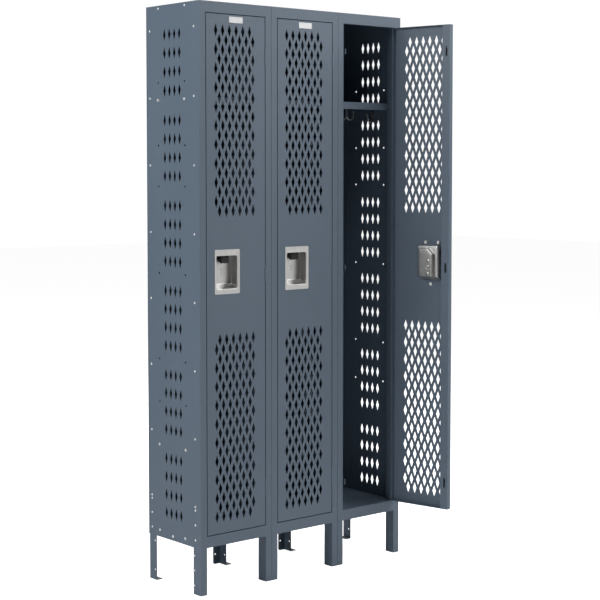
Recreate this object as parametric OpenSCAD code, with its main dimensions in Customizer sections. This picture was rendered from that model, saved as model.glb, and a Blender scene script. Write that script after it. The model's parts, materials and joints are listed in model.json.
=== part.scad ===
// Three-wide, single-tier ventilated steel locker with three-point latches.
// Frame: +X right, +Y back, +Z up, origin on the floor at the footprint's centre.

/* [Cabinet] */
// Width of one locker
unit_w = 304.8; // [254:0.1:460]
// Depth of the cabinet, front face to back
case_d = 304.8; // [275:0.1:610]
// Height of the cabinet, floor to top
case_h = 1981.2; // [1500:0.1:2400]
// Height of the open space below the sills
leg_h = 160; // [100:1:200]

/* [Frame] */
// Thickness of the frame steel
frame_t = 1.5; // [1:0.1:2.5]
// Width of an upright's front face
face_w = 25.4; // [20:0.1:40]
// Depth of an upright's side walls
wall_d = 42; // [30:1:60]
// Height of the header's front face
header_h = 37; // [25:1:60]
// Height of the sill's front face
sill_h = 38; // [25:1:60]
// Depth of the returns on headers and sills
return_d = 20; // [12:1:28]

/* [Panels] */
// Thickness of sides, partitions, back, top, shelf and bottom
sheet_t = 1.2; // [0.8:0.1:1.5]
// Width of a riveted panel flange
panel_flange = 25; // [18:1:35]
// Height of a shelf's folded edge
shelf_lip = 25; // [15:1:40]
// Distance of the shelf's upper surface below the top
shelf_drop = 311.2; // [230:0.1:500]
// Height of the locker bottom's upper surface above the floor
bottom_z = 196; // [150:1:236]

/* [Perforation] */
// Width of a diamond
diamond_w = 15; // [8:0.5:17]
// Height of a diamond
diamond_h = 42; // [20:1:46]
// Sideways spacing of door diamonds
door_pitch_x = 28.4; // [28:0.1:32]
// Row spacing of door diamonds
door_pitch_z = 31.5; // [31:0.1:36]
// Plain band across the middle of a door, between its fields of diamonds
door_blank_h = 430; // [380:1:700]
// Spacing of side diamonds, front to back
side_pitch_y = 28.6; // [20:0.1:32]
// Row spacing of side diamonds
side_pitch_z = 62.7; // [50:0.1:70]
// Spacing of the groups of side diamonds
side_group_z = 288.4; // [250:0.1:300]

/* [Doors] */
// Thickness of the door steel
door_t = 1.5; // [1:0.1:2]
// Depth of the door's folded edges
door_edge = 20; // [15:1:25]
// Width of the folded lip behind the free edge
door_lip = 31; // [26:1:38]
// Gap around the top, bottom and free edge of a door
door_gap = 3; // [1:0.1:4]
// Gap on the hinge side
hinge_gap = 3.2; // [2.6:0.1:4]
// Angle the right-hand door stands open
door_3_open = 101.7; // [0:0.1:160]

/* [Hinges] */
// Length of a hinge
hinge_len = 50; // [30:1:80]
// Outside radius of the knuckles
knuckle_r = 2.2; // [1.8:0.1:3]
// Radius of the hinge pin
pin_r = 1.1; // [0.8:0.05:1.5]
// Running clearance of the pin in its knuckles
pin_clear = 0.05; // [0.03:0.01:0.08]
// Thickness of a hinge leaf
leaf_t = 1; // [0.8:0.1:1.2]

/* [Handle] */
// Width of the handle's face flange
pocket_flange_w = 106; // [96:1:120]
// Height of the handle's face flange
pocket_flange_h = 150; // [140:1:180]
// Width of the finger recess
pocket_w = 86; // [70:1:88]
// Height of the recess mouth
pocket_h = 111; // [80:1:116]
// Depth of the recess
pocket_d = 30; // [24:1:40]
// Height of the middle of the recess mouth above the door's middle
pocket_rise = 12; // [-10:1:20]
// Distance of the recess's middle from the door's free edge
pocket_x = 83; // [80:1:100]
// Thickness of the handle's stainless sheet
pocket_t = 1.2; // [0.8:0.1:2]

/* [Latch] */
// Travel of the finger lift and lock bar
lift_travel = 12; // [8:1:14]
// Width of the lock bar
bar_w = 14; // [13:0.5:16]
// Thickness of the lock bar
bar_t = 2; // [1.5:0.1:3]
// Height of a frame hook
hook_h = 20; // [12:1:24]
// Thickness of a frame hook
hook_t = 2.5; // [1.5:0.1:3]
// Clearance of the bar in its nylon guides
guide_clear = 0.3; // [0.15:0.05:0.6]

/* [Hidden] */

// Number of lockers side by side
bays = 3;
// Segments of true round faces
round_fn = 48;
// Overshoot of a cutting tool past the face it cuts
cut = 1;

painted = "slategray";
stainless = "silver";
plastic = "black";
zinc = "gainsboro";
nylon = "white";
rubber = "dimgray";

case_w = bays * unit_w;
front_y = -case_d / 2;
back_y = case_d / 2;
frame_top = case_h - sheet_t;
panel_z0 = leg_h - 2;
sill_top = leg_h + sill_h;
header_z = case_h - header_h;
open_w = unit_w - 2 * face_w;
door_w = open_w - door_gap - hinge_gap;
door_z0 = sill_top + door_gap;
door_z1 = header_z - door_gap;
door_h = door_z1 - door_z0;
pocket_z = (door_z0 + door_z1) / 2 + pocket_rise;
shelf_z = case_h - shelf_drop;
door_angles = [0, 0, door_3_open];

// Boundary between lockers, counted from the left end
function unit_x(i) = -case_w / 2 + i * unit_w;
// Left and right edges of a locker's door opening
function bay_left(i) = unit_x(i) + face_w;
function bay_right(i) = unit_x(i + 1) - face_w;
function bay_mid(i) = unit_x(i) + unit_w / 2;
function hinge_x(i) = bay_right(i) - hinge_gap / 2;
// A frame's setback from a locker boundary: a partition stands between two frames
function frame_inset(i) = (i == 0 || i == bays) ? 0 : sheet_t / 2;
// Inner faces of the sheets on each side of a locker
function wall_inset(i) = (i == 0 || i == bays) ? frame_t + sheet_t : sheet_t / 2;
function inner_left(i) = unit_x(i) + wall_inset(i);
function inner_right(i) = unit_x(i + 1) - wall_inset(i + 1);

// ---- Door frames ----
leg_hole_r = 3;
leg_hole_z0 = 30;
leg_hole_pitch = 50.8;
leg_hole_count = 3;
// Depth of the holes in an upright's outer and inner walls
outer_hole_y = 37;
jamb_hole_y = 7;
foot_t = 2;
foot_len = 24;
anchor_r = 4.75;
anchor_x = 12.7;
anchor_y = 21;

// Column of holes through a wall that stands across X
module leg_hole_column(x, y) {
    for (k = [0 : leg_hole_count - 1])
        translate([x, y, leg_hole_z0 + k * leg_hole_pitch]) rotate([0, 90, 0])
            cylinder(h = frame_t + 2 * cut, r = leg_hole_r, center = true, $fn = round_fn);
}

// Section of an upright seen from above, from its outer wall inwards
module upright_section(width) {
    square([frame_t, wall_d]);
    square([width, frame_t]);
    translate([width - frame_t, 0]) square([frame_t, wall_d]);
}

// Upright with its outer wall at x = 0; the header and sill faces pass in front of its walls
module upright(width) {
    difference() {
        union() {
            linear_extrude(height = frame_top) upright_section(width);
            translate([frame_t, frame_t, 0])
                cube([width - 2 * frame_t, wall_d - frame_t, foot_t]);
        }
        leg_hole_column(frame_t / 2, outer_hole_y);
        leg_hole_column(width - frame_t / 2, jamb_hole_y);
        translate([anchor_x, anchor_y, -cut])
            cylinder(h = foot_t + 2 * cut, r = anchor_r, $fn = round_fn);
        translate([-cut, -cut, header_z])
            cube([width + 2 * cut, frame_t + cut, header_h + cut]);
        translate([-cut, -cut, leg_h])
            cube([width + 2 * cut, frame_t + cut, sill_h]);
    }
}

module left_upright(i) {
    inset = frame_inset(i);
    color(painted) translate([unit_x(i) + inset, front_y, 0]) upright(face_w - inset);
}

// The right upright gives way to the hinge knuckles
module right_upright(i) {
    inset = frame_inset(i + 1);
    color(painted) difference() {
        translate([unit_x(i + 1) - inset, front_y, 0]) mirror([1, 0, 0]) upright(face_w - inset);
        knuckle_reliefs(i);
    }
}

// Header or sill: a face as wide as its frame, with a return behind each edge
module rail(i, z, height) {
    x0 = unit_x(i) + frame_inset(i);
    x1 = unit_x(i + 1) - frame_inset(i + 1);
    translate([x0, front_y, z]) cube([x1 - x0, frame_t, height]);
    for (dz = [0, height - frame_t])
        translate([bay_left(i), front_y + frame_t, z + dz])
            cube([open_w, return_d - frame_t, frame_t]);
}

module headers() {
    color(painted) for (i = [0 : bays - 1]) rail(i, header_z, frame_top - header_z);
}

module sills() {
    color(painted) for (i = [0 : bays - 1]) rail(i, leg_h, sill_h);
}

// ---- Rear legs ----
rear_leg_h = leg_h + 145;
rear_wing = 28;
rear_hole_z = 36;
rear_hole_pitch = 102;
rear_hole_y = 32;
wing_corner_r = 8;
wing_hole_x = 9;

// Rear leg: a plate along the side at x = 0, a foot turned inwards, and a wing on inner legs
module rear_leg_shape(hole_x, wing) {
    depth = wall_d - sheet_t;
    difference() {
        union() {
            translate([0, -wall_d, 0]) cube([frame_t, depth, rear_leg_h]);
            translate([0, -wall_d, 0]) cube([foot_len, depth, foot_t]);
            if (wing > 0) rear_wing_plate(wing);
        }
        for (k = [0 : 1])
            translate([frame_t / 2, -rear_hole_y, rear_hole_z + k * rear_hole_pitch])
                rotate([0, 90, 0])
                    cylinder(h = frame_t + 2 * cut, r = leg_hole_r, center = true, $fn = round_fn);
        translate([hole_x, -anchor_y, -cut])
            cylinder(h = foot_t + 2 * cut, r = anchor_r, $fn = round_fn);
    }
}

// Wing across the back with a rounded lower corner
module rear_wing_plate(wing) {
    translate([0, -sheet_t, 0]) rotate([90, 0, 0]) linear_extrude(height = frame_t) difference() {
        translate([-wing, 0]) square([wing + frame_t, panel_z0 - cut]);
        difference() {
            translate([-wing - cut, -cut]) square(wing_corner_r + cut);
            translate([wing_corner_r - wing, wing_corner_r]) circle(r = wing_corner_r, $fn = round_fn);
        }
        translate([wing_hole_x - wing, rear_hole_z]) circle(r = leg_hole_r, $fn = round_fn);
    }
}

module rear_leg(k) {
    inset = wall_inset(k);
    inner = k > 0 && k < bays;
    color(painted) translate([unit_x(k) + (k < bays ? inset : -inset), back_y, 0])
        mirror([k < bays ? 0 : 1, 0, 0])
            rear_leg_shape(anchor_x - (inner ? 0 : inset), inner ? rear_wing : 0);
}

// ---- Diamond perforation ----
module diamond() {
    polygon([[diamond_w / 2, 0], [0, diamond_h / 2], [-diamond_w / 2, 0], [0, -diamond_h / 2]]);
}

// ---- Sides and partitions ----
side_rows = 4;
side_cols = 4;
side_field_y = case_d / 2 + 4.2;
side_field_top = 100.5;
side_field_low = 80;
side_room = case_h - panel_z0 - side_field_top - side_field_low - (side_rows - 1) * side_pitch_z;
side_groups = floor(side_room / side_group_z) + 1;
shelf_hole_r = 3.5;
shelf_hole_y = 84;
shelf_hole_pitch = 152.4;
// Distances of the shelf holes below the top
shelf_hole_drops = [260.2, 473.2, 611.2, 907.2, 1202.2, 1349.2];
side_front = frame_t + 0.5;
partition_front = 3;

// Diamonds of a side, laid out with X as depth from the front face
module side_diamonds() {
    for (g = [0 : side_groups - 1], r = [0 : side_rows - 1], c = [0 : side_cols - 1])
        translate([side_field_y + (c - (side_cols - 1) / 2) * side_pitch_y,
                   case_h - side_field_top - g * side_group_z - r * side_pitch_z]) diamond();
}

// Upright sheet between two depths, with its diamonds and shelf holes
module side_sheet(front) {
    rotate([90, 0, 90]) linear_extrude(height = sheet_t) difference() {
        translate([front, panel_z0]) square([case_d - sheet_t - front, frame_top - panel_z0]);
        side_diamonds();
        for (drop = shelf_hole_drops, k = [0, 1])
            translate([shelf_hole_y + k * shelf_hole_pitch, case_h - drop])
                circle(r = shelf_hole_r, $fn = round_fn);
    }
}

module left_side_panel() {
    color(painted) translate([unit_x(0) + frame_t, front_y, 0]) side_sheet(side_front);
}

module right_side_panel() {
    color(painted) translate([unit_x(bays) - frame_t - sheet_t, front_y, 0]) side_sheet(side_front);
}

module partition(k) {
    color(painted) translate([unit_x(k) - sheet_t / 2, front_y, 0]) side_sheet(partition_front);
}

// ---- Back, top, bottom and shelves ----
// Assembly clearance between sheets
sheet_fit = 0.2;

module back_panels() {
    flange_z0 = rear_leg_h + 1;
    flange_h = frame_top - panel_flange - 1 - flange_z0;
    color(painted) for (i = [0 : bays - 1]) {
        x0 = unit_x(i) + sheet_fit;
        x1 = unit_x(i + 1) - sheet_fit;
        translate([x0, back_y - sheet_t, panel_z0]) cube([x1 - x0, sheet_t, frame_top - panel_z0]);
        for (x = [inner_left(i), inner_right(i) - sheet_t])
            translate([x, back_y - panel_flange, flange_z0])
                cube([sheet_t, panel_flange - sheet_t, flange_h]);
    }
}

module top_panel() {
    y0 = front_y + wall_d + 1;
    color(painted) {
        translate([unit_x(0), front_y, frame_top]) cube([case_w, case_d, sheet_t]);
        for (x = [inner_left(0), inner_right(bays - 1) - sheet_t])
            translate([x, y0, frame_top - panel_flange])
                cube([sheet_t, back_y - sheet_t - y0, panel_flange]);
    }
}

module bottom_panel(i) {
    // The rear legs' plates stand between the sheet and the side
    x0 = inner_left(i) + frame_t + sheet_fit;
    x1 = inner_right(i) - (i == bays - 1 ? frame_t + sheet_fit : sheet_fit);
    y0 = front_y + frame_t + sheet_fit;
    y1 = front_y + wall_d + sheet_fit;
    y2 = back_y - sheet_t - frame_t - sheet_fit;
    color(painted) {
        translate([0, 0, bottom_z - sheet_t]) linear_extrude(height = sheet_t)
            polygon([[bay_left(i) + sheet_fit, y0], [bay_right(i) - sheet_fit, y0],
                     [bay_right(i) - sheet_fit, y1], [x1, y1], [x1, y2], [x0, y2],
                     [x0, y1], [bay_left(i) + sheet_fit, y1]]);
        for (x = [x0, x1 - sheet_t])
            translate([x, y1, bottom_z - panel_flange]) cube([sheet_t, y2 - y1, panel_flange - sheet_t]);
    }
}

shelf_front = wall_d + 2;

module shelf(i) {
    x0 = inner_left(i) + sheet_t + sheet_fit;
    x1 = inner_right(i) - sheet_t - sheet_fit;
    y0 = front_y + shelf_front;
    y1 = back_y - sheet_t - sheet_fit;
    color(painted) {
        translate([x0, y0, shelf_z - sheet_t]) cube([x1 - x0, y1 - y0, sheet_t]);
        for (y = [y0, y1 - sheet_t])
            translate([x0, y, shelf_z - shelf_lip]) cube([x1 - x0, sheet_t, shelf_lip - sheet_t]);
        for (x = [x0, x1 - sheet_t])
            translate([x, y0 + sheet_t, shelf_z - shelf_lip])
                cube([sheet_t, y1 - y0 - 2 * sheet_t, shelf_lip - sheet_t]);
    }
}

// ---- Clothes hooks ----
hook_wire_r = 2.3;
hook_ball_r = 3.6;
ceiling_hook_y = 124;
ceiling_hook_drop = 62;
ceiling_prong_r = 17;
ceiling_prong_rise = 12;
wall_hook_y = 145;
wall_hook_z = shelf_z - 47;
wall_prong_r = 9;
wall_plate_h = 40;
wall_plate_w = 16;
wall_plate_t = 2;
// Depth the wire is sunk into its plate
weld = 0.5;

// Half ring of wire below z = 0, from x = 0 to x = 2 r
module wire_bend(r) {
    translate([r, 0, 0]) rotate([90, 0, 0]) rotate([0, 0, 180])
        rotate_extrude(angle = 180, $fn = round_fn) translate([r, 0]) circle(r = hook_wire_r, $fn = 24);
}

module hook_tip(rise) {
    cylinder(h = rise, r = hook_wire_r, $fn = 24);
    translate([0, 0, rise]) sphere(r = hook_ball_r, $fn = 24);
}

module ceiling_hook() {
    bend_z = -ceiling_hook_drop + ceiling_prong_r + hook_wire_r;
    translate([0, 0, -3]) cylinder(h = 3, r = 11, $fn = round_fn);
    translate([0, 0, bend_z]) cylinder(h = -bend_z, r = hook_wire_r, $fn = 24);
    for (side = [0, 1]) mirror([side, 0, 0]) translate([0, 0, bend_z]) {
        wire_bend(ceiling_prong_r);
        translate([2 * ceiling_prong_r, 0, 0]) hook_tip(ceiling_prong_rise);
    }
}

module ceiling_hooks() {
    color(zinc) for (i = [0 : bays - 1])
        translate([bay_mid(i), front_y + ceiling_hook_y, shelf_z - sheet_t]) ceiling_hook();
}

// Hook on a wall at x = 0, reaching towards +X
module wall_hook() {
    plate_x = wall_plate_t;
    translate([0, -wall_plate_w / 2, -wall_plate_h / 2]) cube([plate_x, wall_plate_w, wall_plate_h]);
    translate([plate_x + hook_wire_r - weld, 0, -wall_plate_h / 4]) {
        cylinder(h = wall_plate_h / 2, r = hook_wire_r, $fn = 24);
        wire_bend(wall_prong_r);
        translate([2 * wall_prong_r, 0, 0]) rotate([0, 20, 0]) hook_tip(wall_plate_h / 2);
    }
}

module wall_hooks() {
    color(zinc) for (i = [0 : bays - 1]) {
        translate([inner_left(i), front_y + wall_hook_y, wall_hook_z]) wall_hook();
        translate([inner_right(i), front_y + wall_hook_y, wall_hook_z])
            mirror([1, 0, 0]) wall_hook();
    }
}

// ---- Frame hooks and their bumpers ----
latch_zs = [door_z0 + 97, pocket_z - 8, door_z1 - 94.2];
// Distance of the latch line from the door's free edge
latch_x = 14;
hook_y = 23;
hook_base_len = 17;
hook_tip_y = 7;
bumper_gap = 0.6;
bumper_len = 8;

// Hook on a jamb at x = 0: a base, an arm across, and a finger towards the door
module frame_hook() {
    arm = door_gap + latch_x + hook_t / 2;
    translate([0, 0, -hook_h / 2]) linear_extrude(height = hook_h) {
        translate([0, hook_y]) square([hook_t, hook_base_len]);
        translate([0, hook_y]) square([arm, hook_t]);
        translate([arm - hook_t, hook_tip_y]) square([hook_t, hook_y - hook_tip_y + hook_t]);
    }
}

module at_frame_hooks() {
    for (i = [0 : bays - 1], z = latch_zs) translate([bay_left(i), front_y, z]) children();
}

module frame_hooks() {
    color(painted) at_frame_hooks() frame_hook();
}

module hook_bumpers() {
    y0 = door_edge + bumper_gap;
    color(rubber) at_frame_hooks()
        translate([hook_t + 1, y0, -hook_h / 2 + 2]) cube([bumper_len, hook_y - y0, hook_h - 4]);
}

// ---- Hinges ----
hinge_inset = 130;
hinge_zs = [door_z0 + hinge_inset, (door_z0 + door_z1) / 2, door_z1 - hinge_inset];
knuckles = 5;
knuckle_gap = 0.3;
relief_clear = 0.5;
leaf_depth = 17;
pin_head_h = 1;

module knuckle_reliefs(i) {
    for (z = hinge_zs)
        translate([hinge_x(i), front_y, z - hinge_len / 2 - pin_head_h - relief_clear])
            cylinder(h = hinge_len + 2 * (pin_head_h + relief_clear), r = knuckle_r + relief_clear,
                     $fn = round_fn);
}

// Leaf on the +X side of the pin's axis, with the knuckles from number first on, every second one
module hinge_leaf(first) {
    step = hinge_len / knuckles;
    leaf_x = hinge_gap / 2 - leaf_t;
    z0 = -hinge_len / 2;
    clear_y = knuckle_r + relief_clear;
    difference() {
        union() {
            translate([leaf_x, clear_y, z0]) cube([leaf_t, leaf_depth - clear_y, hinge_len]);
            for (k = [first : 2 : knuckles - 1]) translate([0, 0, z0 + k * step + knuckle_gap / 2]) {
                cylinder(h = step - knuckle_gap, r = knuckle_r, $fn = round_fn);
                translate([leaf_x, 0, 0]) cube([leaf_t, clear_y, step - knuckle_gap]);
            }
        }
        translate([0, 0, z0 - cut])
            cylinder(h = hinge_len + 2 * cut, r = pin_r + pin_clear, $fn = round_fn);
    }
}

module at_hinges(i) {
    for (z = hinge_zs) translate([hinge_x(i), front_y, z]) children();
}

module hinge_frame_leaves() {
    color(painted) for (i = [0 : bays - 1]) at_hinges(i) hinge_leaf(0);
}

module hinge_pins() {
    color(zinc) for (i = [0 : bays - 1]) at_hinges(i) {
        translate([0, 0, -hinge_len / 2]) cylinder(h = hinge_len, r = pin_r, $fn = round_fn);
        for (z = [-hinge_len / 2 - pin_head_h + knuckle_gap / 2, hinge_len / 2 - knuckle_gap / 2])
            translate([0, 0, z]) cylinder(h = pin_head_h, r = knuckle_r - 0.3, $fn = round_fn);
    }
}

module hinge_door_leaves(i) {
    color(painted) swung(i) at_hinges(i) mirror([1, 0, 0]) hinge_leaf(1);
}

// ---- Rivets and bolts on the two ends ----
rivet_r = 4;
rivet_h = 1.6;
rivet_pitch = 228.6;
rivet_top = 83;
low_rivet_zs = [panel_z0 + 128, panel_z0 + 78, panel_z0 + 27];
rivet_rows = floor((case_h - rivet_top - low_rivet_zs[0]) / rivet_pitch) + 1;
front_rivet_y = 30.5;
back_rivet_y = case_d - 18.3;
top_rivet_z = 10;
bolt_r = 5;
bolt_h = 2.6;
// Depth and drop below the locker bottom of the bolts that hold it
bottom_bolts = [[88, 16], [160, 22], [237, 13]];
spare_bolt_z = panel_z0 + 324;
shelf_bolt_drop = 8;

// Round-topped rivet head standing on x = 0, pointing towards -X
module rivet_head() {
    rotate([0, -90, 0]) cylinder(h = rivet_h, r1 = rivet_r, r2 = rivet_r * 0.6, $fn = round_fn);
}

module end_rivets() {
    rows = [for (k = [0 : rivet_rows - 1]) case_h - rivet_top - k * rivet_pitch];
    for (z = concat(rows, low_rivet_zs)) {
        translate([0, front_rivet_y, z]) rivet_head();
        translate([frame_t, back_rivet_y, z]) rivet_head();
    }
    for (k = [0, 1])
        translate([frame_t, shelf_hole_y + k * shelf_hole_pitch, case_h - top_rivet_z]) rivet_head();
}

module bolt_head() {
    rotate([0, -90, 0]) cylinder(h = bolt_h, r = bolt_r, $fn = round_fn);
}

module end_bolts() {
    for (z = [shelf_z - shelf_bolt_drop, spare_bolt_z], k = [0, 1])
        translate([frame_t, shelf_hole_y + k * shelf_hole_pitch, z]) bolt_head();
    for (p = bottom_bolts) translate([frame_t, p[0], bottom_z - p[1]]) bolt_head();
}

// Places its children on the left end and their mirror image on the right end
module on_both_ends() {
    translate([unit_x(0), front_y, 0]) children();
    translate([unit_x(bays), front_y, 0]) mirror([1, 0, 0]) children();
}

module side_rivets() {
    color(zinc) on_both_ends() end_rivets();
}

module panel_bolts() {
    color(zinc) on_both_ends() end_bolts();
}

// ---- Doors ----
// Turns a locker's door parts about its hinge axis to the angle the door stands at
module swung(i) {
    translate([hinge_x(i), front_y, 0]) rotate([0, 0, door_angles[i]])
        translate([-hinge_x(i), -front_y, 0]) children();
}

// Places parts drawn from the door's free edge and front face
module on_door(i) {
    swung(i) translate([bay_left(i) + door_gap, front_y, 0]) children();
}

// Distance of the diamonds' middle from the door's middle
door_field_shift = -5.7;
door_field_top = 53.9;
door_field_low = 57.3;
door_field_side = 75;
door_field_h = (door_h - door_field_top - door_field_low - door_blank_h) / 2;
door_rows = floor(door_field_h / door_pitch_z) + 1;
door_cols = floor((door_w - door_field_side) / door_pitch_x);
slot_w = 8;
slot_spare = 14;
edge_fit = 0.2;

// One field of staggered rows, from its top row down; phase 1 starts with a shifted row
module door_field(top_z, phase) {
    for (r = [0 : door_rows - 1], c = [0 : door_cols - 1]) {
        shift = ((r + phase) % 2) / 2 - (door_cols - 0.5) / 2;
        translate([door_w / 2 + door_field_shift + (c + shift) * door_pitch_x,
                   top_z - r * door_pitch_z]) diamond();
    }
}

// Door face seen from the front, with its diamonds and the handle's cut-out
module door_outline() {
    difference() {
        translate([0, door_z0]) square([door_w, door_h]);
        door_field(door_z1 - door_field_top, 0);
        door_field(door_z0 + door_field_low + (door_rows - 1) * door_pitch_z, 1);
        translate([cup_x0 - pocket_t - edge_fit, cup_z0 - pocket_t - edge_fit])
            square([pocket_w + 2 * (pocket_t + edge_fit), cup_h + 2 * (pocket_t + edge_fit)]);
    }
}

module door(i) {
    lip_z0 = door_z0 + door_t;
    lip_h = door_h - 2 * door_t;
    color(painted) swung(i) difference() {
        translate([bay_left(i) + door_gap, front_y, 0]) difference() {
            union() {
                translate([0, door_t, 0]) rotate([90, 0, 0])
                    linear_extrude(height = door_t) door_outline();
                for (x = [0, door_w - door_t])
                    translate([x, door_t, door_z0]) cube([door_t, door_edge - door_t, door_h]);
                for (z = [door_z0, door_z1 - door_t])
                    translate([0, door_t, z]) cube([door_w, door_edge - door_t, door_t]);
                translate([door_t, door_edge - door_t, lip_z0])
                    cube([door_lip - door_t, door_t, lip_h]);
            }
            for (z = latch_zs)
                translate([latch_x - slot_w / 2, door_edge - door_t - cut, z - (hook_h + slot_spare) / 2])
                    cube([slot_w, door_t + 2 * cut, hook_h + slot_spare]);
        }
        knuckle_reliefs(i);
    }
}

// ---- Number plates ----
plate_w = 58;
plate_h = 20;
plate_t = 1;
plate_drop = 16;
plate_rim = 1.6;
plate_recess = 0.4;

module number_plate(i) {
    color(zinc) on_door(i)
        translate([door_w / 2, 0, door_z1 - plate_drop]) rotate([90, 0, 0]) difference() {
            linear_extrude(height = plate_t) rounded_plate(plate_w, plate_h, 2);
            translate([0, 0, plate_t - plate_recess]) linear_extrude(height = plate_recess + cut)
                rounded_plate(plate_w - 2 * plate_rim, plate_h - 2 * plate_rim, 1);
        }
}

// Rectangle with round corners about its middle
module rounded_plate(w, h, r) {
    square([w - 2 * r, h], center = true);
    square([w, h - 2 * r], center = true);
    for (x = [-1, 1], y = [-1, 1])
        translate([x * (w / 2 - r), y * (h / 2 - r)]) circle(r = r, $fn = 32);
}

// ---- Recessed handle ----
cup_head = lift_travel + 3;
cup_slope = 13;
flange_left = 8;
flange_low = 18;
flange_r = 4;
mouth_r = 4;
cup_x0 = pocket_x - pocket_w / 2;
cup_z0 = pocket_z - pocket_h / 2;
cup_h = pocket_h + cup_head;
flange_mid_x = cup_x0 - flange_left + pocket_flange_w / 2;
flange_mid_z = cup_z0 - flange_low + pocket_flange_h / 2;

// Side view of the recess: depth along X, height along Y, with the floor sloping up to the back
module cup_profile(grow) {
    polygon([[-cut, -grow], [0, -grow], [pocket_d + grow, cup_slope - grow],
             [pocket_d + grow, cup_h + grow], [-cut, cup_h + grow]]);
}

module cup_block(grow) {
    translate([cup_x0 - grow, 0, cup_z0]) rotate([90, 0, 90])
        linear_extrude(height = pocket_w + 2 * grow) cup_profile(grow);
}

// Opening in the recess's left wall for the finger lift's shank
module shank_slot() {
    translate([cup_x0 - pocket_t - cut, shank_y - 1, shank_z - 1])
        cube([pocket_t + 2 * cut, shank_t + 2, shank_h + lift_travel + 2]);
}

module handle_pocket(i) {
    color(stainless) on_door(i) difference() {
        union() {
            translate([flange_mid_x, 0, flange_mid_z]) rotate([90, 0, 0])
                linear_extrude(height = pocket_t) rounded_plate(pocket_flange_w, pocket_flange_h, flange_r);
            intersection() {
                cup_block(pocket_t);
                translate([cup_x0 - pocket_t, 0, cup_z0 - pocket_t])
                    cube([pocket_w + 2 * pocket_t, pocket_d + pocket_t, cup_h + 2 * pocket_t]);
            }
        }
        intersection() {
            cup_block(0);
            translate([cup_x0, 0, cup_z0]) cube([pocket_w, pocket_d, cup_h]);
        }
        translate([pocket_x, cut, pocket_z]) rotate([90, 0, 0])
            linear_extrude(height = pocket_t + 2 * cut) rounded_plate(pocket_w, pocket_h, mouth_r);
        shank_slot();
    }
}

// ---- Latch cover behind the recess ----
cover_x0 = 54;
cover_w = 58;
cover_h = 104;
cover_d = 15;
cover_rise = 1.5;
cover_chamfer = 22;
cover_boss_r = 10;
cover_boss_h = 2;

module latch_cover(i) {
    y0 = pocket_d + pocket_t;
    color(zinc) on_door(i) translate([cover_x0, y0 + cover_d, cup_z0 + cover_rise + cup_slope - pocket_t]) {
        rotate([90, 0, 0]) linear_extrude(height = cover_d)
            polygon([[0, 0], [cover_w, 0], [cover_w, cover_h], [cover_chamfer, cover_h],
                     [0, cover_h - cover_chamfer]]);
        translate([cover_w / 3, cover_boss_h, cover_h / 3]) rotate([90, 0, 0])
            cylinder(h = cover_boss_h, r = cover_boss_r, $fn = round_fn);
    }
}

// ---- Lock bar, guides and spring ----
bar_y = 10.5;
bar_low = 58.6;
bar_top_gap = 56.6;
bar_z0 = door_z0 + bar_low;
bar_z1 = door_z1 - bar_top_gap;
bar_tab = 12;
window_w = 8;
window_spare = 2;
guide_h = 24;
guide_zs = [for (share = [0.15, 0.4, 0.63, 0.86]) bar_z0 + share * (bar_z1 - bar_z0)];
guide_side = 3;
guide_y = 8;
spring_h = 24;
spring_r = 4.5;
spring_wire = 0.8;
spring_turns = 5;
seat_h = 12;

// Lock bar with a window for each frame hook, tall enough for hook and travel
module lock_bar(i) {
    color(zinc) on_door(i) translate([latch_x, bar_y + bar_t, 0]) rotate([90, 0, 0])
        linear_extrude(height = bar_t) difference() {
            union() {
                translate([-bar_w / 2, bar_z0]) square([bar_w, bar_z1 - bar_z0]);
                translate([0, shank_z]) square([bar_w / 2 + bar_tab, shank_h]);
            }
            for (z = latch_zs)
                translate([-window_w / 2, z - hook_h / 2 - lift_travel - window_spare])
                    square([window_w, hook_h + lift_travel + 2 * window_spare]);
        }
}

module bar_guides(i) {
    y1 = door_edge - door_t;
    w = bar_w + 2 * guide_side;
    color(nylon) on_door(i) translate([latch_x, 0, 0]) {
        for (z = guide_zs) translate([0, 0, z]) difference() {
            translate([-w / 2, guide_y, 0]) cube([w, y1 - guide_y, guide_h]);
            translate([-bar_w / 2 - guide_clear, bar_y - guide_clear, -cut])
                cube([bar_w + 2 * guide_clear, bar_t + 2 * guide_clear, guide_h + 2 * cut]);
        }
        translate([-w / 2, guide_y, bar_z1 + spring_h]) cube([w, y1 - guide_y, seat_h]);
    }
}

// Section of the coil's wire cut level: stretched round the coil by the wire's slope
module wire_section() {
    span = 180 * spring_turns * 2 * spring_wire / spring_h;
    polygon([for (k = [0 : 5]) let (a = k * 60, r = spring_r + spring_wire * sin(a), t = span * cos(a))
        [r * cos(t), r * sin(t)]]);
}

module bar_spring(i) {
    color(zinc) on_door(i) translate([latch_x, bar_y + bar_t / 2, bar_z1])
        linear_extrude(height = spring_h, twist = -360 * spring_turns, slices = 10 * spring_turns)
            wire_section();
}

// ---- Finger lift ----
grip_x0 = 64;
grip_w = 35;
grip_drop = 27;
grip_h = 28;
grip_y = 7;
grip_d = 19;
shank_t = 4;
shank_h = 12;
shank_y = bar_y + bar_t;
shank_z = cup_z0 + pocket_h - shank_h - 3;

// Black plastic grip in the recess, with a shank through the recess's wall to the lock bar
module finger_lift(i) {
    grip_z = cup_z0 + pocket_h - grip_drop;
    shank_x0 = latch_x + bar_w / 2 + 1;
    color(plastic) on_door(i) {
        translate([grip_x0, 0, 0]) rotate([90, 0, 90]) linear_extrude(height = grip_w)
            polygon([[grip_y, grip_z + 4], [grip_y + 4, grip_z], [grip_y + grip_d, grip_z + 8],
                     [grip_y + grip_d, grip_z + grip_h], [grip_y, grip_z + grip_h]]);
        translate([shank_x0, shank_y, shank_z]) cube([grip_x0 - shank_x0, shank_t, shank_h]);
    }
}

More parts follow.
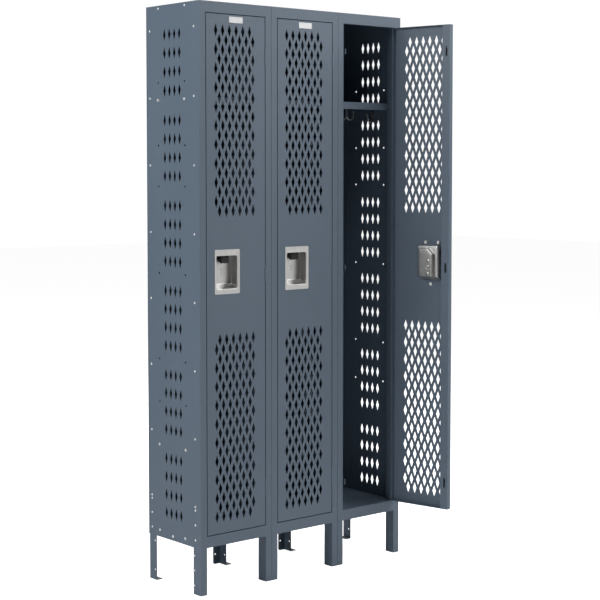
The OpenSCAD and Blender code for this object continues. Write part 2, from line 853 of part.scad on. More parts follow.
left_upright(0);  // left_upright_1
right_upright(0);  // right_upright_1
left_upright(1);  // left_upright_2
right_upright(1);  // right_upright_2
left_upright(2);  // left_upright_3
right_upright(2);  // right_upright_3
headers();
sills();
rear_leg(0);  // rear_leg_1
rear_leg(1);  // rear_leg_2
rear_leg(2);  // rear_leg_3
rear_leg(3);  // rear_leg_4
left_side_panel();
partition(1);  // left_partition
partition(2);  // right_partition
right_side_panel();
back_panels();
top_panel();
bottom_panel(0);  // bottom_panel_1
bottom_panel(1);  // bottom_panel_2
bottom_panel(2);  // bottom_panel_3
shelf(0);  // shelf_1
shelf(1);  // shelf_2
shelf(2);  // shelf_3
ceiling_hooks();
wall_hooks();
frame_hooks();
hook_bumpers();
hinge_frame_leaves();
hinge_pins();
side_rivets();
panel_bolts();
door(0);  // door_1
number_plate(0);  // number_plate_1
handle_pocket(0);  // handle_pocket_1
latch_cover(0);  // latch_cover_1
hinge_door_leaves(0);  // hinge_door_leaves_1
bar_guides(0);  // bar_guides_1
bar_spring(0);  // bar_spring_1
lock_bar(0);  // lock_bar_1
finger_lift(0);  // finger_lift_1
door(1);  // door_2
number_plate(1);  // number_plate_2
handle_pocket(1);  // handle_pocket_2
latch_cover(1);  // latch_cover_2
hinge_door_leaves(1);  // hinge_door_leaves_2
bar_guides(1);  // bar_guides_2
bar_spring(1);  // bar_spring_2
lock_bar(1);  // lock_bar_2
finger_lift(1);  // finger_lift_2
door(2);  // door_3
number_plate(2);  // number_plate_3
handle_pocket(2);  // handle_pocket_3
latch_cover(2);  // latch_cover_3
hinge_door_leaves(2);  // hinge_door_leaves_3
bar_guides(2);  // bar_guides_3
bar_spring(2);  // bar_spring_3
lock_bar(2);  // lock_bar_3
finger_lift(2);  // finger_lift_3
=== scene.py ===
# %% [markdown]
# # A three-wide ventilated steel locker
# The cabinet comes from CAD as a fixed frame of real-sized steel parts: frames, sides, doors,
# shelves and latches. This lesson gives each part its finish. The pieces with soft shapes (the
# pressed handle cups, the moulded finger lifts, the latch covers and their small fixings) are
# made again as surfaces worked out with numpy. The hooks, springs and rivets stay CAD parts.

# %% Load the frame
import json
import math

import bmesh
import bpy
import numpy as np
from mathutils import Euler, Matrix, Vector


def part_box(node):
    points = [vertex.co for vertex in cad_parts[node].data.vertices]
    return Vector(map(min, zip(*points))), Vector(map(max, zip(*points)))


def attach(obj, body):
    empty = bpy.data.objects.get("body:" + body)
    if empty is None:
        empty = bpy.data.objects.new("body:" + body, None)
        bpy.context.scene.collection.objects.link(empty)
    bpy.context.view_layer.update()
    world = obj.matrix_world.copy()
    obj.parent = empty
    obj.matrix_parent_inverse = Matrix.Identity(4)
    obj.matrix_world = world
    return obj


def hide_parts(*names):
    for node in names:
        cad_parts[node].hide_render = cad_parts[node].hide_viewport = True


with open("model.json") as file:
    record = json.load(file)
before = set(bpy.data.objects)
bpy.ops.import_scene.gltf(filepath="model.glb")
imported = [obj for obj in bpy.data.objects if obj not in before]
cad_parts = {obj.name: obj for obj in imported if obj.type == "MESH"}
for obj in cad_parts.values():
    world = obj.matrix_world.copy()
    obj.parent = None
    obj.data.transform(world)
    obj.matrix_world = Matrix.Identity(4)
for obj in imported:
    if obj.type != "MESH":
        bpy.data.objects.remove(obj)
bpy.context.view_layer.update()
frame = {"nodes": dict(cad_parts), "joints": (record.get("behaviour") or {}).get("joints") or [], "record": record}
DOORS = (1, 2, 3)
MM = 0.001

# %% [markdown]
# ## Where a door stands
# A door's pieces are easiest to shape on a closed door, measured from its hinge axis. The record
# gives each hinge: its axis, and how far the door is from closed (the low end of its range). One
# function carries points from the closed door to where that door really stands.

# %% Door placement
hinges = {n: next(j for j in frame["joints"] if j["name"] == f"door_{n}_hinge") for n in DOORS}


def on_door(n, points):
    """Points measured from the hinge axis of a closed door, turned by the door's opening angle
    about +Z and moved to its hinge: p' = hinge + Rz(angle) p, with z left as it is."""
    angle = math.radians(-hinges[n]["range_deg"][0])
    x, y, z = np.moveaxis(np.asarray(points, float), -1, 0)
    hx, hy, _ = hinges[n]["pos_m"]
    return np.stack([hx + x * math.cos(angle) - y * math.sin(angle),
                     hy + x * math.sin(angle) + y * math.cos(angle), z], -1)


def door_box(node):
    """Box of one of door 1's nodes, measured from the hinge axis of that closed door."""
    lo, hi = (np.array(c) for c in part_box(f"{node}_1"))
    origin = np.array([*hinges[1]["pos_m"][:2], 0.0])
    return lo - origin, hi - origin


for n in DOORS:
    print(f"door {n} stands {-hinges[n]['range_deg'][0]:.1f} degrees open")

# %% [markdown]
# ## Building surfaces from arrays
# Every new piece is a grid of points. A row is a closed ring, and the rows follow one another
# along the shape: a pressed cup is a rounded outline carried through a list of depths, a boss is
# a circle carried through a list of heights. The same few lines turn any such grid into a mesh.

# %% Grid to mesh
SMOOTH_UP_TO = 35
SAME_POINT = 1e-6
NO_LENGTH = 1e-7


def grid_faces(rows, cols):
    """Quads of a rows x cols grid: (r, c), (r, c+1), (r+1, c+1), (r+1, c). The last column is
    joined to the first."""
    r, c = np.meshgrid(np.arange(rows - 1), np.arange(cols), indexing="ij")
    r, c = r.ravel(), c.ravel()
    d = (c + 1) % cols
    return np.stack([r * cols + c, r * cols + d, (r + 1) * cols + d, (r + 1) * cols + c], 1)


def make_piece(name, grids, body, finish, replaces=(), smooth=SMOOTH_UP_TO):
    """One mesh from a list of grids, welded, with its faces turned outwards, on a body. Edges
    that turn by more than smooth degrees stay sharp."""
    points, faces, start = [], [], 0
    for grid in grids:
        rows, cols = grid.shape[:2]
        points.append(grid.reshape(-1, 3))
        faces.append(grid_faces(rows, cols) + start)
        start += rows * cols
    mesh = bpy.data.meshes.new(name)
    mesh.from_pydata(np.concatenate(points).tolist(), [], np.concatenate(faces).tolist())
    piece = bpy.data.objects.new(name, mesh)
    bpy.context.scene.collection.objects.link(piece)
    clean(piece)
    mesh.materials.append(finish)
    mesh.shade_smooth()
    mesh.set_sharp_from_angle(angle=math.radians(smooth))
    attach(piece, body)
    if replaces:
        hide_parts(*replaces)
    print(f"{name}: {len(mesh.polygons)} faces on {body}")


def clean(piece):
    """Merges doubled points, drops faces with no area and turns the faces outwards."""
    bm = bmesh.new()
    bm.from_mesh(piece.data)
    bmesh.ops.remove_doubles(bm, verts=bm.verts, dist=SAME_POINT)
    bmesh.ops.dissolve_degenerate(bm, dist=NO_LENGTH, edges=bm.edges)
    bmesh.ops.recalc_face_normals(bm, faces=bm.faces)
    bm.to_mesh(piece.data)
    bm.free()


# %% Rounded outlines and pressings
ARC_POINTS = 7


def outline(corners, radius, inset=0.0):
    """A convex outline with round corners, anticlockwise. Each corner's arc has its centre one
    radius inside both edges, and its points are centre + (radius - inset)(cos t, sin t) for t
    from one edge's outward normal to the next one's."""
    corners = np.asarray(corners, float)
    edge = np.roll(corners, -1, 0) - corners
    edge /= np.linalg.norm(edge, axis=1, keepdims=True)
    out = np.stack([edge[:, 1], -edge[:, 0]], 1)
    before = np.roll(out, 1, 0)
    bisector = before + out
    centre = corners - radius * 2 * bisector / (bisector**2).sum(1, keepdims=True)
    t0 = np.arctan2(before[:, 1], before[:, 0])
    turn = (np.arctan2(out[:, 1], out[:, 0]) - t0) % (2 * np.pi)
    t = t0[:, None] + turn[:, None] * np.linspace(0, 1, ARC_POINTS)
    arc = np.stack([np.cos(t), np.sin(t)], -1) * (radius - inset)
    return (centre[:, None] + arc).reshape(-1, 2)


def pressing(stations):
    """Grid of a pressed shape: each station is (outline, depth, shrink), and its points are the
    outline drawn towards its middle by shrink and set at that depth along +Y."""
    rows = []
    for shape, depth, shrink in stations:
        middle = (shape.max(0) + shape.min(0)) / 2
        flat = middle + (shape - middle) * (1 - shrink)
        rows.append(np.stack([flat[:, 0], np.full(len(flat), depth), flat[:, 1]], 1))
    return np.stack(rows)


def box_corners(x0, x1, z0, z1):
    """Corners of an upright rectangle, anticlockwise from the lower left."""
    return [(x0, z0), (x1, z0), (x1, z1), (x0, z1)]


# %% [markdown]
# ## Writing materials as sums
# A finish is a handful of patterns added and multiplied. A small class wraps a socket, so that
# `0.4 + 0.1 * grain` adds the Math nodes itself. Every other node comes from one method.

# %% Material helpers
# A Mix node has one set of sockets for numbers, one for vectors and one for colours. These are
# the places of its colour sockets, and of its number sockets.
MIX_A, MIX_B, MIX_RESULT = 6, 7, 2
MIX_NUMBER_A, MIX_NUMBER_B, MIX_NUMBER_RESULT = 2, 3, 0


class Signal:
    """One number per point of a surface. + and * on it, from either side, add Math nodes."""

    def __init__(self, finish, socket):
        self.finish, self.socket = finish, socket

    def math(self, operation, first, second):
        node = self.finish.node("ShaderNodeMath", {"operation": operation}, {0: first, 1: second})
        return Signal(self.finish, node.outputs[0])

    def __add__(self, other):
        return self.math("ADD", self, other)

    def __mul__(self, other):
        return self.math("MULTIPLY", self, other)

    __radd__, __rmul__ = __add__, __mul__


class Finish:
    """A material under construction: a Principled shader fed by patterns on Object coordinates."""

    def __init__(self, name, metallic, **constants):
        self.material = bpy.data.materials.new(name)
        self.material.use_nodes = True
        self.tree = self.material.node_tree
        self.tree.nodes.clear()
        self.shader = self.node("ShaderNodeBsdfPrincipled", {}, {"Metallic": metallic, **constants})
        self.node("ShaderNodeOutputMaterial", {}, {"Surface": self.shader.outputs[0]})
        self.place = self.node("ShaderNodeTexCoord").outputs["Object"]

    def node(self, kind, settings=None, sockets=None):
        """Adds a node, sets its properties and plugs its sockets."""
        node = self.tree.nodes.new(kind)
        for key, value in (settings or {}).items():
            if key == "stops":
                self.set_stops(node.color_ramp, value)
            else:
                setattr(node, key, value)
        for key, value in (sockets or {}).items():
            self.plug(node.inputs[key], value)
        return node

    def plug(self, socket, value):
        """Links a pattern into a socket, or sets a constant on it."""
        value = value.socket if isinstance(value, Signal) else value
        if isinstance(value, bpy.types.NodeSocket):
            self.tree.links.new(value, socket)
        else:
            socket.default_value = value

    def set_stops(self, ramp, stops):
        """Gives a colour ramp one grey stop per (position, level)."""
        while len(ramp.elements) < len(stops):
            ramp.elements.new(0.5)
        for element, (position, value) in zip(ramp.elements, stops):
            element.position = position
            element.color = (value, value, value, 1)

    def noise(self, size, detail=2, stretch=(1, 1, 1)):
        """Cloudy pattern from 0 to 1 whose blotches are about size metres, longer where
        stretch is larger."""
        scale = [1 / (size * s) for s in stretch]
        place = self.node("ShaderNodeMapping", {}, {"Vector": self.place, "Scale": scale})
        noise = self.node("ShaderNodeTexNoise", {},
                          {"Vector": place.outputs[0], "Scale": 1.0, "Detail": detail})
        return Signal(self, noise.outputs["Fac"])

    def ramp(self, value, *stops):
        """A pattern drawn through (position, level) stops, straight in between."""
        node = self.node("ShaderNodeValToRGB", {"stops": stops}, {"Fac": value})
        return Signal(self, node.outputs["Color"])

    def tint(self, amount, one, other):
        """Colour that goes from one to other as amount goes from 0 to 1."""
        node = self.node("ShaderNodeMix", {"data_type": "RGBA"},
                         {"Factor": amount, MIX_A: (*one, 1), MIX_B: (*other, 1)})
        return node.outputs[MIX_RESULT]

    def bump(self, height, distance, strength):
        """Tilts the shading as if the surface rose by distance where height is 1."""
        node = self.node("ShaderNodeBump", {},
                         {"Height": height, "Distance": distance, "Strength": strength})
        self.plug(self.shader.inputs["Normal"], node.outputs["Normal"])

    def set(self, **values):
        """Plugs the shader's sockets by name, with _ for each space."""
        for key, value in values.items():
            self.plug(self.shader.inputs[key.replace("_", " ")], value)


# %% [markdown]
# ## Powder coat
# The frames, doors and sheets are sprayed with a blue-grey powder and baked. Close up the film
# has an orange-peel skin a millimetre or two across, a much finer grain that breaks up the
# highlights, and very slow changes of tone where it is thicker. Two noises make the skin, and
# slow ones drift the colour and the gloss.

# %% Powder coat
def powder_coat():
    """Tone = 3/4 slow drift + 1/4 grain; roughness rises with the drift and in long scuffs."""
    f = Finish("blue_grey_powder_coat", 0.0)
    drift = f.noise(0.35, 3, (1, 1, 2.2))
    peel = f.noise(0.0022, 3)
    grain = f.noise(0.0006, 2)
    scuff = f.ramp(f.noise(0.02, 6, (1, 1, 5)), (0.66, 0), (0.78, 1))
    tone = f.tint(0.75 * drift + 0.25 * grain, (0.088, 0.122, 0.166), (0.116, 0.156, 0.204))
    f.set(Base_Color=tone, Roughness=0.46 + 0.12 * drift + 0.08 * scuff)
    f.bump(0.75 * peel + 0.25 * grain, 0.00022, 0.35)
    return f.material


# %% [markdown]
# ## Bare and plated metals
# The handle cups are stainless sheet brushed along its length: fine streaks several centimetres
# long that change the roughness more than the colour. The latch parts are zinc plated, a duller
# grey with cloudy patches. The number plates are satin aluminium.

# %% Metals
ALONG_X, ALONG_Z = (40, 1, 1), (1, 1, 40)


def brushed(name, dark, light, roughness, stretch):
    """Metal with fine streaks along one axis, over faint clouds."""
    f = Finish(name, 1.0)
    streak = f.noise(0.0007, 3, stretch)
    cloud = f.noise(0.03, 3)
    f.set(Base_Color=f.tint(0.6 * streak + 0.4 * cloud, dark, light),
          Roughness=roughness - 0.07 + 0.14 * streak + 0.05 * cloud)
    f.bump(streak, 0.0001, 0.4)
    return f.material


def zinc_plate(name, dark, light, roughness):
    """Dull metal with cloudy patches and a fine speckle."""
    f = Finish(name, 1.0)
    cloud = f.noise(0.012, 4)
    speck = f.noise(0.0012, 2)
    f.set(Base_Color=f.tint(0.7 * cloud + 0.3 * speck, dark, light),
          Roughness=roughness + 0.22 * cloud)
    f.bump(speck, 0.00012, 0.35)
    return f.material


# %% [markdown]
# ## Moulded parts
# The finger lift is black plastic with a spark-eroded grain from its mould, the bar guides are
# white nylon, and the bumpers on the frame hooks are black rubber. Each has a fine bump and a
# little drift in its gloss. The rivets, bolts and cup fixings have a brighter zinc than the rest.

# %% Plastics and rubber
def moulded(name, one, other, roughness, grain_size):
    """Plastic or rubber with the grain of its mould."""
    f = Finish(name, 0.0)
    grain = f.noise(grain_size, 3)
    cloud = f.noise(0.02, 2)
    f.set(Base_Color=f.tint(0.5 * grain + 0.5 * cloud, one, other),
          Roughness=roughness + 0.12 * cloud)
    f.bump(grain, 0.00015, 0.5)
    return f.material


paint = powder_coat()
stainless = brushed("brushed_stainless", (0.42, 0.415, 0.405), (0.80, 0.795, 0.78), 0.33,
                    ALONG_Z)
aluminium = brushed("satin_aluminium", (0.38, 0.38, 0.39), (0.66, 0.66, 0.67), 0.38, ALONG_X)
zinc = zinc_plate("zinc_plate", (0.34, 0.335, 0.32), (0.58, 0.57, 0.545), 0.26)
rivet_zinc = zinc_plate("bright_rivet_zinc", (0.82, 0.82, 0.81), (0.93, 0.93, 0.92), 0.5)
black = moulded("black_moulded_grip", (0.003, 0.003, 0.0035), (0.009, 0.009, 0.01), 0.55, 0.0008)
nylon = moulded("white_nylon", (0.62, 0.62, 0.58), (0.74, 0.73, 0.70), 0.42, 0.002)
rubber = moulded("black_rubber", (0.012, 0.012, 0.012), (0.03, 0.03, 0.03), 0.62, 0.001)
BRIGHT_NODES = ("side_rivets", "panel_bolts")
FINISHES = {"painted": paint, "stainless": stainless, "zinc": zinc, "aluminium": aluminium,
            "black_plastic": black, "nylon": nylon, "rubber": rubber}
slots = {s["node"]: s["material_slot"] for s in frame["record"]["subparts"]}
for name, node in frame["nodes"].items():
    for material_slot in node.material_slots:
        material_slot.material = rivet_zinc if name in BRIGHT_NODES else FINISHES[slots[name]]
print("finishes:", sorted(FINISHES), "and", rivet_zinc.name)

# %% [markdown]
# ## Pressed handle cup
# A sheet of stainless is drawn into a cup and its rim left as a flat flange against the door.
# It is one outline carried through a list of depths: flange edge, flange face, the rolled
# mouth, the wall, and the round turn into the back plate. The floor of the cup slopes up
# towards the back, and the roof stands higher than the mouth so that the finger lift can rise.

# %% Handle cup
flange_lo, flange_hi = door_box("handle_pocket")
# Sizes from the flange's lower left corner, on the front of the door.
MOUTH_LEFT, MOUTH_RIGHT = 8 * MM, 94 * MM
MOUTH_LOW, MOUTH_HIGH = 18 * MM, 129 * MM
CUP_HIGH = 144 * MM
CUP_DEPTH = 30 * MM
CUP_SLOPE = 13 * MM
CUP_CORNER = 5 * MM
CUP_TURN = 3 * MM
SHEET = 1.2 * MM
EDGE_ROUND = 0.4 * MM
FLANGE_REAR = -0.1 * MM
WALL_FRONT, WALL_REAR = 0.6 * MM, 0.4 * MM
WALL_DEPTHS = (8 * MM, 16 * MM, 24 * MM)
PLATE_SHRINKS = (0.3, 0.6, 0.9, 1.0)
QUARTER = np.linspace(0, np.pi / 2, 5)


def cup_stations():
    """Outlines from the middle of the back plate's rear out to the flange's edge, then over the
    front of the sheet and in to the middle again, one sheet thickness away all the way."""
    x0, x1, z0, z1 = flange_lo[0], flange_hi[0], flange_lo[2], flange_hi[2]
    mx0, mx1 = x0 + MOUTH_LEFT, x0 + MOUTH_RIGHT
    mz0, mz1, high = z0 + MOUTH_LOW, z0 + MOUTH_HIGH, z0 + CUP_HIGH

    def wall(depth):
        return box_corners(mx0, mx1, mz0 + CUP_SLOPE * depth / CUP_DEPTH, high)

    face, back = box_corners(x0, x1, z0, z1), wall(CUP_DEPTH)
    front = [(outline(face, CUP_CORNER), FLANGE_REAR, 0),
             (outline(face, CUP_CORNER), EDGE_ROUND - SHEET, 0),
             (outline(face, CUP_CORNER, EDGE_ROUND), -SHEET, 0)]
    for t in QUARTER:
        lip = SHEET * (1 - math.sin(t))
        ring = box_corners(mx0 - lip, mx1 + lip, mz0 - lip, mz1 + lip)
        front.append((outline(ring, CUP_CORNER + lip), -SHEET * math.cos(t), 0))
    for depth in (WALL_FRONT, *WALL_DEPTHS):
        front.append((outline(wall(depth), CUP_CORNER), depth, 0))
    for t in QUARTER:
        front.append((outline(back, CUP_CORNER, CUP_TURN * (1 - math.cos(t))),
                      CUP_DEPTH - CUP_TURN * (1 - math.sin(t)), 0))
    plate = front[-1][0]
    front += [(plate, CUP_DEPTH, shrink) for shrink in PLATE_SHRINKS]
    rear = [(plate, CUP_DEPTH + SHEET, shrink) for shrink in PLATE_SHRINKS[::-1]]
    outer = CUP_TURN + SHEET
    for t in QUARTER[::-1]:
        rear.append((outline(back, CUP_CORNER, CUP_TURN - outer * math.cos(t)),
                     CUP_DEPTH - CUP_TURN + outer * math.sin(t), 0))
    for depth in (*WALL_DEPTHS[::-1], WALL_REAR):
        rear.append((outline(wall(depth), CUP_CORNER, -SHEET), depth, 0))
    return rear + front


def button(x, y, z, radius, height, sides=24):
    """Round pressed button on a face that looks towards -Y: radius cos t, height sin t."""
    t = np.linspace(0, np.pi / 2, 7)
    a = np.linspace(0, 2 * np.pi, sides, endpoint=False)
    r, h = np.append(0, radius * np.cos(t)), np.append(0, height * np.sin(t))
    return np.stack([x + r[:, None] * np.cos(a), y - np.broadcast_to(h[:, None], (len(r), sides)),
                     z + r[:, None] * np.sin(a)], -1)


DIMPLE_RIGHT, DIMPLE_UP, DIMPLE_PITCH = 51.5 * MM, 80 * MM, 11 * MM
DIMPLE_RADIUS, DIMPLE_RISE = 4.2 * MM, 1.4 * MM
DIMPLE_REAR = CUP_DEPTH - 0.1 * MM
cup = pressing(cup_stations())
dimples = [button(flange_lo[0] + DIMPLE_RIGHT, DIMPLE_REAR,
                  flange_lo[2] + DIMPLE_UP - k * DIMPLE_PITCH, DIMPLE_RADIUS, DIMPLE_RISE)
           for k in (0, 1)]
for n in DOORS:
    make_piece(f"handle_cup_{n}", [on_door(n, cup)], f"door_{n}", stainless,
               (f"handle_pocket_{n}",))
    make_piece(f"cup_dimples_{n}", [on_door(n, d) for d in dimples], f"door_{n}",
               stainless)

# %% [markdown]
# ## Finger lift
# A black moulded grip hangs at the top of each cup. A fingertip goes under its scalloped lower
# edge and pushes up, and a thin shank through the cup's wall carries the lock bar with it. The
# grip is a rounded section carried along its width, drawn in a little at both ends, with its
# lower edge waved so that a finger finds it. The shank sits high, behind the mouth's upper edge.

# %% Finger lift
lift_lo, lift_hi = door_box("finger_lift")
GRIP_W = 35 * MM
GRIP_SECTION = np.array([(7, 4), (11, 0), (26, 8), (26, 28), (7, 28)]) * MM
GRIP_ROUND = 2.4 * MM
END_LENGTH, END_INSET = 3 * MM, 2.3 * MM
SCALLOP, SCALLOP_TURNS, SCALLOP_REACH = 1.2 * MM, 3, 12 * MM


def grip():
    """Section in Y and Z carried along X. Each end shrinks by a quarter circle, and points low
    on the section rise by SCALLOP (1 + cos of so many turns along X)."""
    section = outline(GRIP_SECTION, GRIP_ROUND)
    u = np.linspace(0, 1, 41)
    end = np.clip(np.minimum(u, 1 - u) * GRIP_W / END_LENGTH, 0, 1)
    inset = END_INSET * (1 - np.sqrt(1 - (1 - end) ** 2))
    middle = (section.max(0) + section.min(0)) / 2
    half = (section.max(0) - section.min(0)) / 2
    flat = middle + (section - middle) * (1 - inset[:, None, None] / half)
    low = np.clip(1 - flat[..., 1] / SCALLOP_REACH, 0, 1)
    wave = SCALLOP * np.cos(u * 2 * np.pi * SCALLOP_TURNS)[:, None] * low
    x = lift_hi[0] - GRIP_W + u * GRIP_W
    grid = np.stack([np.broadcast_to(x[:, None], wave.shape), flat[..., 0],
                     lift_lo[2] + flat[..., 1] + SCALLOP * low + wave], -1)
    middle_row = grid.mean(1, keepdims=True) * np.ones((1, grid.shape[1], 1))
    return np.concatenate([middle_row[:1], grid, middle_row[-1:]])


SHANK_SECTION = box_corners(12.5 * MM, 16.5 * MM, 24 * MM, 28 * MM)
SHANK_ROUND, SHANK_INTO_GRIP = 0.8 * MM, 2 * MM


def shank():
    """Bar from the lock bar to the grip: a rounded square in Y and Z carried along X."""
    x0, x1 = lift_lo[0], lift_hi[0] - GRIP_W + SHANK_INTO_GRIP
    section = outline(SHANK_SECTION, SHANK_ROUND)
    middle = section.mean(0)
    rows = [(x0, 0.0), (x0, 1.0), (x1, 1.0), (x1, 0.0)]
    return np.stack([np.concatenate([np.full((len(section), 1), x),
                                     middle + (section - middle) * grow], 1)
                     for x, grow in rows]) + np.array([0, 0, lift_lo[2]])


for n in DOORS:
    make_piece(f"finger_grip_{n}", [on_door(n, grip()), on_door(n, shank())], f"latch_{n}",
               black, (f"finger_lift_{n}",))

# %% [markdown]
# ## Latch cover
# Behind each cup a zinc-plated pressed box keeps the lock's works clean. Its outline has one cut
# corner; the edge turns over a small radius, and the face carries a round boss and a button.

# %% Latch cover
cover_lo, cover_hi = door_box("latch_cover")
COVER_D = 15 * MM
CHAMFER = 22 * MM
COVER_CORNER = 4 * MM
COVER_TURN = 3 * MM


def cover_stations():
    """Outline at the cup's back, up the side, round the edge and in to the middle."""
    x0, x1, z0, z1 = cover_lo[0], cover_hi[0], cover_lo[2], cover_hi[2]
    shape = [(x0, z0), (x1, z0), (x1, z1), (x0 + CHAMFER, z1), (x0, z1 - CHAMFER)]
    y0 = cover_lo[1]
    edge = outline(shape, COVER_CORNER)
    stations = [(edge, y0, 1.0), (edge, y0, 0), (edge, y0 + COVER_D - COVER_TURN, 0)]
    for t in np.linspace(0, math.pi / 2, 6):
        stations.append((outline(shape, COVER_CORNER, COVER_TURN * (1 - math.cos(t))),
                         y0 + COVER_D - COVER_TURN * (1 - math.sin(t)), 0))
    last = stations[-1][0]
    return stations + [(last, y0 + COVER_D, s) for s in (0.4, 0.8, 1.0)]


def boss(x, y, z, rings, sides=32):
    """Round form on a face that looks towards +Y; rings are (radius, height) pairs."""
    a = np.linspace(0, 2 * np.pi, sides, endpoint=False)
    r, h = np.array(rings, float).T
    return np.stack([x + r[:, None] * np.cos(a), y + np.broadcast_to(h[:, None], (len(r), sides)),
                     z + r[:, None] * np.sin(a)], -1)


# Rings of (radius, height) in millimetres.
BOSS_RINGS = np.array([(0, 0), (10, 0), (9.8, 1.2), (9, 1.9), (7.5, 2.2), (6.5, 1.4), (5, 1.2),
                       (2.6, 1.2), (2.4, 0.4), (0, 0.4)]) * MM
BUMP_RINGS = np.array([(0, 0), (6.5, 0), (6, 1), (4, 1.8), (0, 2)]) * MM
BUMP_LEFT, BUMP_ABOVE, BUMP_BELOW = 2 * MM, 25 * MM, 22 * MM
SUNK = 0.2 * MM
face_y = cover_lo[1] + COVER_D - SUNK
boss_x = cover_lo[0] + (cover_hi[0] - cover_lo[0]) / 3
boss_z = cover_lo[2] + (cover_hi[2] - cover_lo[2]) / 3
cover = pressing(cover_stations())
knobs = [boss(boss_x, face_y, boss_z, BOSS_RINGS),
         boss(boss_x - BUMP_LEFT, face_y, boss_z + BUMP_ABOVE, BUMP_RINGS),
         boss(boss_x, face_y, boss_z - BUMP_BELOW, BUMP_RINGS)]
for n in DOORS:
    make_piece(f"latch_box_{n}", [on_door(n, cover)], f"door_{n}", zinc,
               (f"latch_cover_{n}",))
    make_piece(f"latch_bosses_{n}", [on_door(n, g) for g in knobs], f"door_{n}", zinc)

# %% [markdown]
# ## Fixings of the cup
# The cup is held to the door by two small spring clips above it and a nut on a stud below. They
# are simple: a rounded tab and a six-sided nut, so each is an outline or a ring of corners
# carried through a few heights.

# %% Clips and nut
INNER_FACE = 1.5 * MM
cup_top = flange_lo[2] + CUP_HIGH + SHEET
NUT_RINGS = np.array([(0, 0), (6.5, 0), (6.5, 4.4), (5.8, 5), (3, 5), (3, 7), (2.4, 7.6),
                      (0, 7.6)]) * MM
NUT_SIDES, NUT_UP, NUT_SMOOTH = 6, 4 * MM, 25
CLIP_W, CLIP_H, CLIP_ROUND = 11 * MM, 13 * MM, 3 * MM
CLIP_EDGE, CLIP_DEPTH, CLIP_INSET = 5 * MM, 7 * MM, 2 * MM
CLIP_GAP, CLIP_RIGHT, CLIP_LEFT = 3 * MM, 22 * MM, -32 * MM


def clip(x, z):
    """Tab with round corners that stands on the inside of the door, its outer edge chamfered.
    x is its middle and z its foot."""
    corners = box_corners(x - CLIP_W / 2, x + CLIP_W / 2, z, z + CLIP_H)
    tab, slim = outline(corners, CLIP_ROUND), outline(corners, CLIP_ROUND, CLIP_INSET)
    return pressing([(tab, INNER_FACE, 1.0), (tab, INNER_FACE, 0),
                     (tab, INNER_FACE + CLIP_EDGE, 0), (slim, INNER_FACE + CLIP_DEPTH, 0),
                     (slim, INNER_FACE + CLIP_DEPTH, 1.0)])


middle = (flange_lo[0] + flange_hi[0]) / 2
fixings = [clip(middle + CLIP_RIGHT, cup_top + CLIP_GAP),
           clip(middle + CLIP_LEFT, cup_top + CLIP_GAP),
           boss(middle, INNER_FACE, flange_lo[2] + NUT_UP, NUT_RINGS, NUT_SIDES)]
for n in DOORS:
    make_piece(f"cup_fixings_{n}", [on_door(n, g) for g in fixings], f"door_{n}",
               rivet_zinc, smooth=NUT_SMOOTH)

# %% [markdown]
# ## Camera
# The camera stands to the left of the cabinet at chest height and looks almost level, so that
# the uprights stay upright. Its place, turn and lens were worked out from the cabinet's own
# corners and the rows of diamonds. The lens is moved down a little to frame the feet.

# %% Camera
CAMERA_PLACE = (-3.3818, -4.1258, 1.4286)
LOOK_DOWN, LOOK_RIGHT = 0.0575, 0.7016
camera_data = bpy.data.cameras.new("camera")
camera_data.sensor_width = 36
camera_data.lens = 89.59
camera_data.shift_y = -0.075
camera_data.clip_end = 100
camera = bpy.data.objects.new("camera", camera_data)
camera.location = CAMERA_PLACE
camera.rotation_euler = Euler((math.pi / 2 - LOOK_DOWN, 0, -LOOK_RIGHT))
bpy.context.scene.collection.objects.link(camera)
bpy.context.scene.camera = camera
print("lens", camera_data.lens, "mm")

# %% [markdown]
# ## Studio
# The floor and the surround look white to the camera, but light the cabinet only faintly: the
# Light Path node tells the two apart. Soft lights stand far to the left, high to the right and
# overhead, so that they rake the steel and leave the inside of the lockers dark. A large dim card
# at the front right gives the bright metal something pale to reflect, and one more light behind
# shows the plain back.

# %% Floor and lights
FLOOR_CAST, FLOOR_SEEN = 0.05, 0.95
WORLD_CAST, WORLD_SEEN = 0.025, 1.02


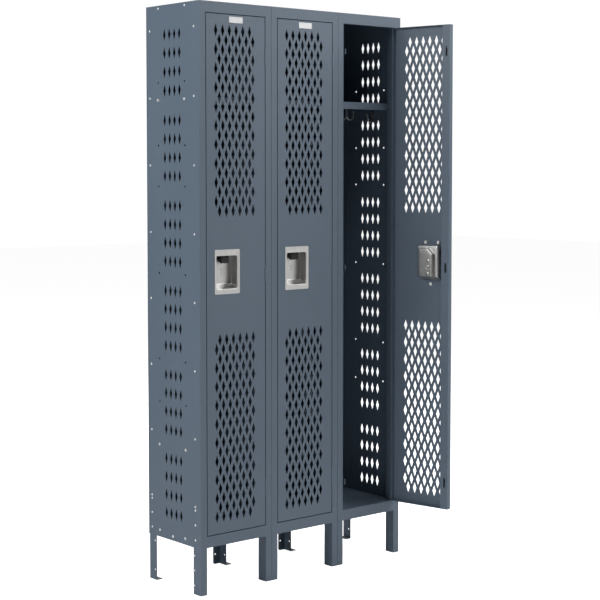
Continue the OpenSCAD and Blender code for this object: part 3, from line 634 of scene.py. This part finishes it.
def flat_floor(size):
    """Square floor whose glow is stronger to the camera than to the rest of the scene."""
    mesh = bpy.data.meshes.new("floor")
    s = size / 2
    mesh.from_pydata([(-s, -s, 0), (s, -s, 0), (s, s, 0), (-s, s, 0)], [], [(0, 1, 2, 3)])
    floor = bpy.data.objects.new("floor", mesh)
    bpy.context.scene.collection.objects.link(floor)
    f = Finish("white_floor", 0.0)
    seen = f.node("ShaderNodeLightPath").outputs["Is Camera Ray"]
    f.set(Base_Color=(0.9, 0.9, 0.9, 1), Roughness=0.9, Emission_Strength=1.0,
          Emission_Color=f.tint(seen, (FLOOR_CAST,) * 3, (FLOOR_SEEN,) * 3))
    mesh.materials.append(f.material)


def soft_light(name, place, aim, size, power):
    """Rectangular area light of size metres that faces aim, with its power in watts."""
    data = bpy.data.lights.new(name, "AREA")
    data.shape = "RECTANGLE"
    data.size, data.size_y = size
    data.energy = power
    light = bpy.data.objects.new(name, data)
    light.location = place
    light.rotation_euler = (Vector(aim) - Vector(place)).to_track_quat("-Z", "Y").to_euler()
    bpy.context.scene.collection.objects.link(light)


def white_surround():
    """World that looks white to the camera and lights the scene with a lower strength."""
    world = bpy.data.worlds.new("surround")
    world.use_nodes = True
    nodes, links = world.node_tree.nodes, world.node_tree.links
    background = nodes["Background"]
    path = nodes.new("ShaderNodeLightPath")
    strength = nodes.new("ShaderNodeMix")
    strength.inputs[MIX_NUMBER_A].default_value = WORLD_CAST
    strength.inputs[MIX_NUMBER_B].default_value = WORLD_SEEN
    links.new(path.outputs["Is Camera Ray"], strength.inputs["Factor"])
    links.new(strength.outputs[MIX_NUMBER_RESULT], background.inputs["Strength"])
    background.inputs["Color"].default_value = (1, 1, 1, 1)
    bpy.context.scene.world = world


flat_floor(40)
soft_light("left", (-3.4, 0.1, 2.7), (0, 0, 1.0), (1.6, 2.2), 97)
soft_light("right", (2.9, -2.3, 3.7), (0, -0.1, 1.0), (2.8, 2.4), 135)
soft_light("top", (0.2, -1.9, 4.8), (0, -0.15, 1.0), (3.0, 1.2), 55)
soft_light("back", (1.2, 4.4, 2.2), (0, 0, 1.0), (3.0, 2.6), 75)
soft_light("card", (3.2, -3.9, 1.2), (0, 0, 1.0), (3.6, 2.4), 20)
white_surround()
bpy.context.scene.view_settings.view_transform = "Standard"
